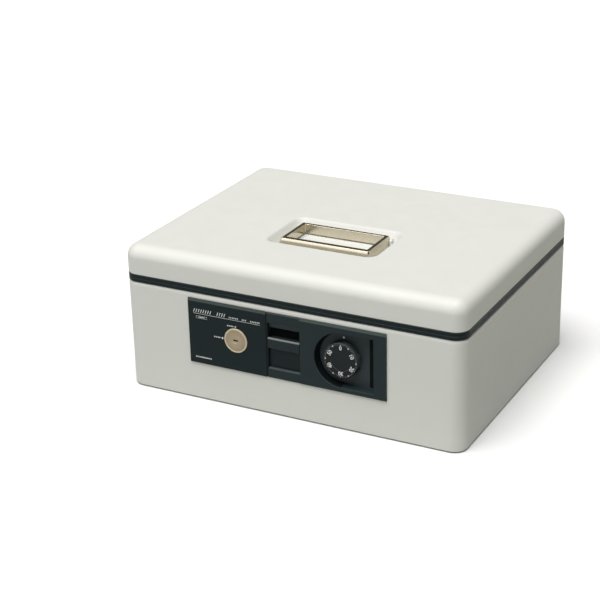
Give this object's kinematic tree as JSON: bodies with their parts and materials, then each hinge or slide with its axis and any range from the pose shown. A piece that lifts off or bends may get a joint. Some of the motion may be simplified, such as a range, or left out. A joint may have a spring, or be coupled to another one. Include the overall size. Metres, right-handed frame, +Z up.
{
  "type": "cash box",
  "caption": "Portable light grey steel document and cash box with hinged lid, fold-down carrying handle, key lock, dial lock, slide latch and lift-out coin tray.",
  "frame": {"origin": "centre of the bounding box on the floor plane, under the box", "axes": "+X to the box's right as seen from its front, +Y to its hinged rear, +Z up"},
  "size_m": [0.36, 0.285, 0.15],
  "materials": {
    "paint": "satin warm light grey baked enamel with a very fine texture",
    "black_plastic": "satin charcoal moulding",
    "dial_plastic": "satin black moulding with white printing",
    "grey_plastic": "matt mid grey moulding",
    "brass": "turned, with fine concentric tool marks",
    "nickel": "warm bright nickel plate",
    "zinc": "zinc plated sheet and turned steel",
    "spring_steel": "drawn wire",
    "rubber": "matt black"
  },
  "bodies": {
    "case": {"body_shell": "paint", "rim_frame": "black_plastic", "foot_front_left": "rubber", "foot_front_right": "rubber", "foot_rear_left": "rubber", "foot_rear_right": "rubber", "tray_rail_left": "zinc", "tray_rail_right": "zinc", "lock_panel": "black_plastic", "name_plate": "black_plastic", "lock_cover": "zinc", "cover_screw_1": "zinc", "cover_screw_2": "zinc", "cover_screw_3": "zinc", "cover_screw_4": "zinc", "key_cylinder": "nickel", "cylinder_nut": "zinc", "latch_guide": "zinc", "latch_spring": "spring_steel", "hook_bracket": "zinc", "hook_pin": "zinc", "wheel_post": "zinc", "fence_pin": "zinc", "hinge_body_leaf_left": "paint", "hinge_body_leaf_right": "paint", "hinge_pin_left": "zinc", "hinge_pin_right": "zinc"},
    "lid": {"lid_shell": "paint", "lid_liner": "grey_plastic", "keeper": "zinc", "hinge_lid_leaf_left": "paint", "hinge_lid_leaf_right": "paint", "handle_bracket_left": "paint", "handle_bracket_right": "paint"},
    "handle": {"handle_loop": "nickel", "handle_pin_left": "zinc", "handle_pin_right": "zinc"},
    "latch": {"latch_slider": "black_plastic"},
    "hook": {"latch_hook": "zinc"},
    "fence": {"fence_lever": "zinc"},
    "key": {"key_plug": "brass", "key_cam": "zinc"},
    "dial": {"dial_knob": "dial_plastic", "dial_spindle": "zinc", "drive_cam": "zinc"},
    "wheel_1": {"combination_wheel_1": "brass"},
    "wheel_2": {"combination_wheel_2": "brass"},
    "wheel_3": {"combination_wheel_3": "brass"},
    "tray": {"coin_tray": "grey_plastic"}
  },
  "joints": [
    {"name": "lid_hinge", "type": "hinge", "parent": "case", "child": "lid", "pos_m": [0, 0.1403, 0.121], "axis": [-1, 0, 0], "range_deg": [0, 100]},
    {"name": "handle_fold", "type": "hinge", "parent": "lid", "child": "handle", "pos_m": [0, -0.0117, 0.1448], "axis": [-1, 0, 0], "range_deg": [0, 90]},
    {"name": "latch_slide", "type": "slide", "parent": "case", "child": "latch", "axis": [0, 0, -1], "range_m": [0, 0.007], "stiffness_N_per_m": 250, "springref_m": -0.004, "deforming": ["latch_spring"]},
    {"name": "hook_tilt", "type": "hinge", "parent": "case", "child": "hook", "pos_m": [0, -0.118, 0.083], "axis": [1, 0, 0], "range_deg": [0, 32]},
    {"name": "fence_drop", "type": "hinge", "parent": "case", "child": "fence", "pos_m": [0.094, -0.128, 0.096], "axis": [0, -1, 0], "range_deg": [0, 5]},
    {"name": "key_turn", "type": "hinge", "parent": "case", "child": "key", "pos_m": [-0.054, -0.1425, 0.0717], "axis": [0, 1, 0], "range_deg": [0, 90]},
    {"name": "dial_turn", "type": "hinge", "parent": "case", "child": "dial", "pos_m": [0.0579, -0.1416, 0.0721], "axis": [0, 1, 0], "continuous": true},
    {"name": "wheel_1_turn", "type": "hinge", "parent": "case", "child": "wheel_1", "pos_m": [0.0579, -0.1265, 0.0721], "axis": [0, 1, 0], "continuous": true},
    {"name": "wheel_2_turn", "type": "hinge", "parent": "case", "child": "wheel_2", "pos_m": [0.0579, -0.123, 0.0721], "axis": [0, 1, 0], "continuous": true},
    {"name": "wheel_3_turn", "type": "hinge", "parent": "case", "child": "wheel_3", "pos_m": [0.0579, -0.1195, 0.0721], "axis": [0, 1, 0], "continuous": true},
    {"name": "tray_lift", "type": "slide", "parent": "case", "child": "tray", "axis": [0, 0, 1], "range_m": [0, 0.018]}
  ],
  "couplings": [
    {"joint": "hook_tilt", "follows": "latch_slide", "rad_per_m": 78.5},
    {"joint": "fence_drop", "follows": "latch_slide", "rad_per_m": 12.14},
    {"joint": "wheel_1_turn", "follows": "dial_turn", "ratio": 1},
    {"joint": "wheel_2_turn", "follows": "dial_turn", "ratio": 1},
    {"joint": "wheel_3_turn", "follows": "dial_turn", "ratio": 1}
  ]
}
